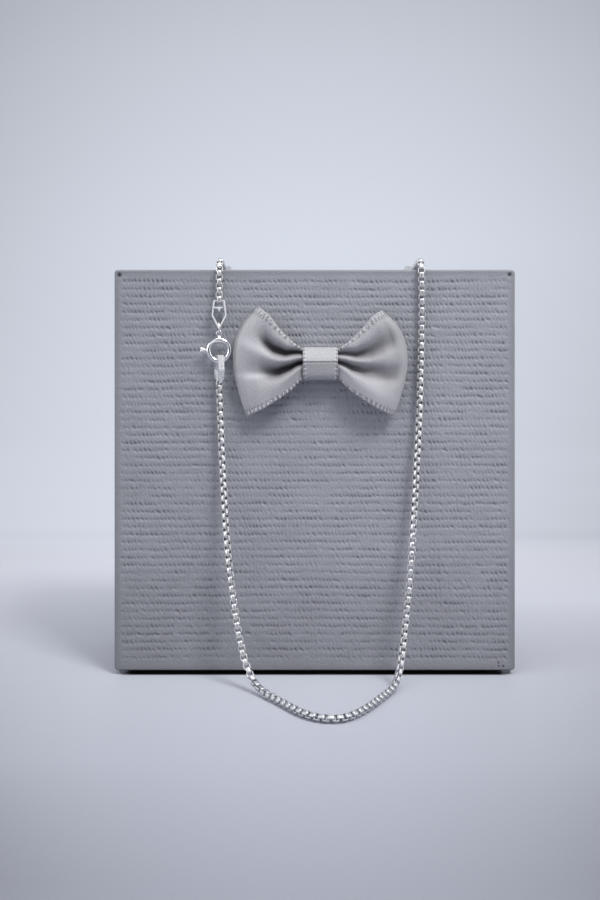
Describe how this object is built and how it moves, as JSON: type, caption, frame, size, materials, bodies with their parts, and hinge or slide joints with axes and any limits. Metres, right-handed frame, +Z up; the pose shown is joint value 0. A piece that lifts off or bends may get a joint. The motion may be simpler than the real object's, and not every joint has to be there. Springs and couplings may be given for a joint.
{
  "type": "box chain necklace on a gift box",
  "caption": "silver box chain necklace with a spring ring clasp, draped over a square gift box that stands on its edge and wears a satin bow",
  "frame": {"origin": "on the surface that the box stands on, under the middle of the whole outline", "axes": "+Z up, +X to the right as the lid is faced, the lid's face looks along -Y"},
  "size_m": [0.09, 0.0644, 0.0936],
  "materials": {
    "lid_paper": "grey paper embossed with irregular linen ribs",
    "base_paper": "plain matte grey paper over board",
    "ribbon": "silver grey satin ribbon with woven edges",
    "silver_chain": "polished sterling silver strip",
    "silver": "polished sterling silver"
  },
  "bodies": {
    "necklace_and_box": {"box_lid": "lid_paper", "box_base": "base_paper", "bow_ribbon": "ribbon", "bow_knot": "ribbon", "chain_front": "silver_chain", "chain_back": "silver_chain", "end_tag_upper": "silver", "end_tag_lower": "silver", "jump_ring": "silver", "clasp_ring": "silver"},
    "clasp_slide": {"clasp_tongue": "silver"}
  },
  "joints": [
    {"name": "clasp_trigger", "type": "hinge", "parent": "necklace_and_box", "child": "clasp_slide", "pos_m": [-0.0213, -0.00153, 0.0729], "axis": [0, -1, 0], "range_deg": [0, 40], "stiffness_Nm_per_rad": 0.004}
  ]
}
